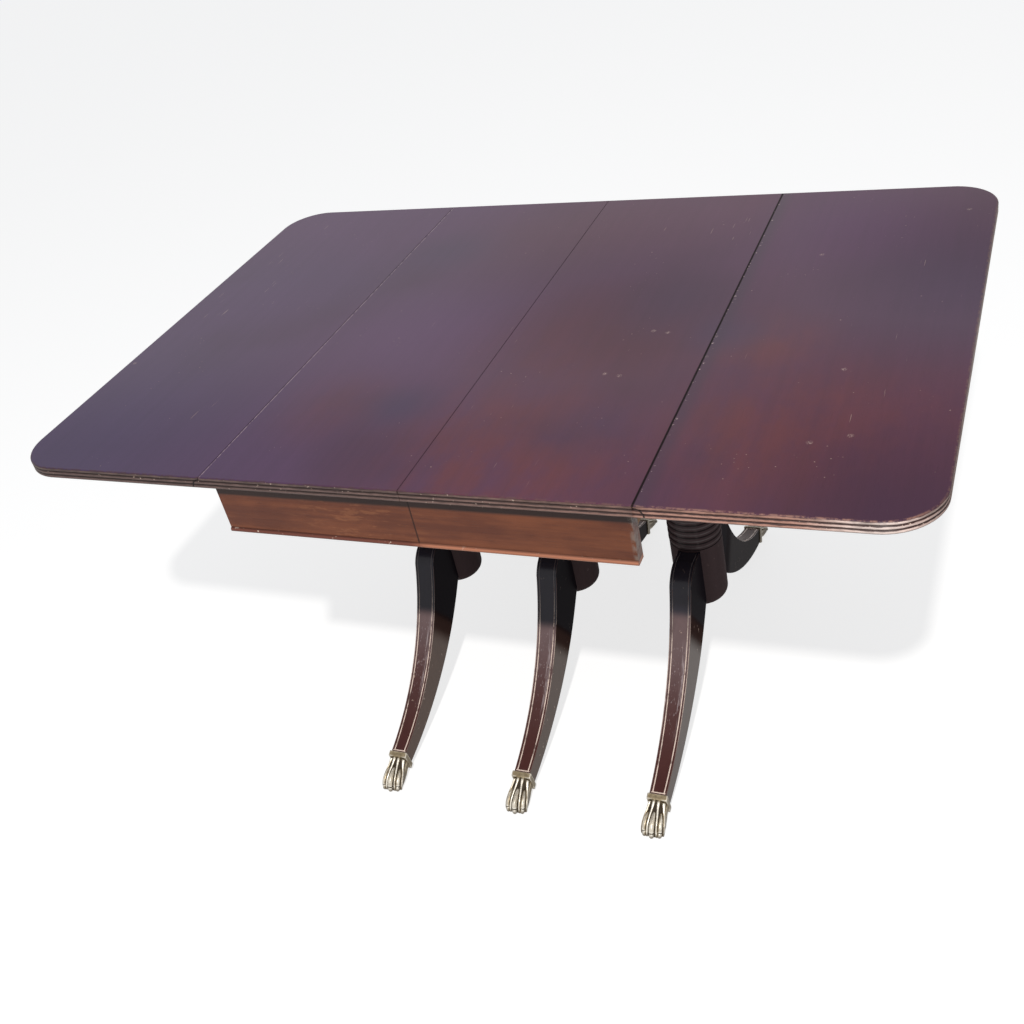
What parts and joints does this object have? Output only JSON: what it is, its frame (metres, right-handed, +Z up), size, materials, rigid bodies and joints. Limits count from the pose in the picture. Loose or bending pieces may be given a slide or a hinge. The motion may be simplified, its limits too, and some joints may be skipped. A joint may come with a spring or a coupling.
{
  "type": "drop-leaf dining table",
  "caption": "Mahogany dining table with hinged drop leaves, reeded edge, draw-apart halves on slides, turned columns, sabre legs and brass paw feet.",
  "frame": {"origin": "on the floor under the middle of the table", "axes": "+Z up, +X along the table towards the right-hand leaf, -Y towards the front apron"},
  "size_m": [1.46, 0.996, 0.762],
  "materials": {
    "top_mahogany": "waxed semi-gloss",
    "apron_mahogany": "waxed satin",
    "turned_mahogany": "polished",
    "inner_beech": "bare, aged",
    "foot_brass": "worn, patinated",
    "hinge_steel": "darkened"
  },
  "bodies": {
    "centre_pedestal": {"slides_centre": "inner_beech", "bearer_centre": "inner_beech", "column_centre": "turned_mahogany", "leg_front_centre": "turned_mahogany", "leg_back_centre": "turned_mahogany", "foot_front_centre": "foot_brass", "foot_back_centre": "foot_brass"},
    "right_half": {"top_right": "top_mahogany", "hinge_plates_top_right": "hinge_steel", "hinge_pins_right": "hinge_steel", "apron_front_right": "apron_mahogany", "apron_back_right": "apron_mahogany", "bead_front_right": "apron_mahogany", "bead_back_right": "apron_mahogany", "side_rail_right": "inner_beech", "corner_blocks_right": "inner_beech", "loper_keepers_right": "inner_beech", "slides_right": "inner_beech", "bearer_right": "inner_beech", "column_right": "turned_mahogany", "leg_front_right": "turned_mahogany", "leg_back_right": "turned_mahogany", "foot_front_right": "foot_brass", "foot_back_right": "foot_brass", "alignment_dowels": "inner_beech"},
    "right_leaf": {"leaf_right": "top_mahogany", "hinge_plates_leaf_right": "hinge_steel"},
    "right_front_loper": {"loper_front_right": "inner_beech"},
    "right_back_loper": {"loper_back_right": "inner_beech"},
    "left_half": {"top_left": "top_mahogany", "hinge_plates_top_left": "hinge_steel", "hinge_pins_left": "hinge_steel", "apron_front_left": "apron_mahogany", "apron_back_left": "apron_mahogany", "bead_front_left": "apron_mahogany", "bead_back_left": "apron_mahogany", "side_rail_left": "inner_beech", "corner_blocks_left": "inner_beech", "loper_keepers_left": "inner_beech", "slides_left": "inner_beech", "bearer_left": "inner_beech", "column_left": "turned_mahogany", "leg_front_left": "turned_mahogany", "leg_back_left": "turned_mahogany", "foot_front_left": "foot_brass", "foot_back_left": "foot_brass"},
    "left_leaf": {"leaf_left": "top_mahogany", "hinge_plates_leaf_left": "hinge_steel"},
    "left_front_loper": {"loper_front_left": "inner_beech"},
    "left_back_loper": {"loper_back_left": "inner_beech"}
  },
  "joints": [
    {"name": "right_half_slide", "type": "slide", "parent": "centre_pedestal", "child": "right_half", "axis": [1, 0, 0], "range_m": [0, 0.305]},
    {"name": "right_leaf_drop", "type": "hinge", "parent": "right_half", "child": "right_leaf", "pos_m": [0.347, 0, 0.744], "axis": [0, -1, 0], "range_deg": [-90, 0]},
    {"name": "right_front_loper_pull", "type": "slide", "parent": "right_half", "child": "right_front_loper", "axis": [1, 0, 0], "range_m": [0, 0.19]},
    {"name": "right_back_loper_pull", "type": "slide", "parent": "right_half", "child": "right_back_loper", "axis": [1, 0, 0], "range_m": [0, 0.19]},
    {"name": "left_half_slide", "type": "slide", "parent": "centre_pedestal", "child": "left_half", "axis": [-1, 0, 0], "range_m": [0, 0.305]},
    {"name": "left_leaf_drop", "type": "hinge", "parent": "left_half", "child": "left_leaf", "pos_m": [-0.347, 0, 0.744], "axis": [0, 1, 0], "range_deg": [-90, 0]},
    {"name": "left_front_loper_pull", "type": "slide", "parent": "left_half", "child": "left_front_loper", "axis": [-1, 0, 0], "range_m": [0, 0.19]},
    {"name": "left_back_loper_pull", "type": "slide", "parent": "left_half", "child": "left_back_loper", "axis": [-1, 0, 0], "range_m": [0, 0.19]}
  ]
}
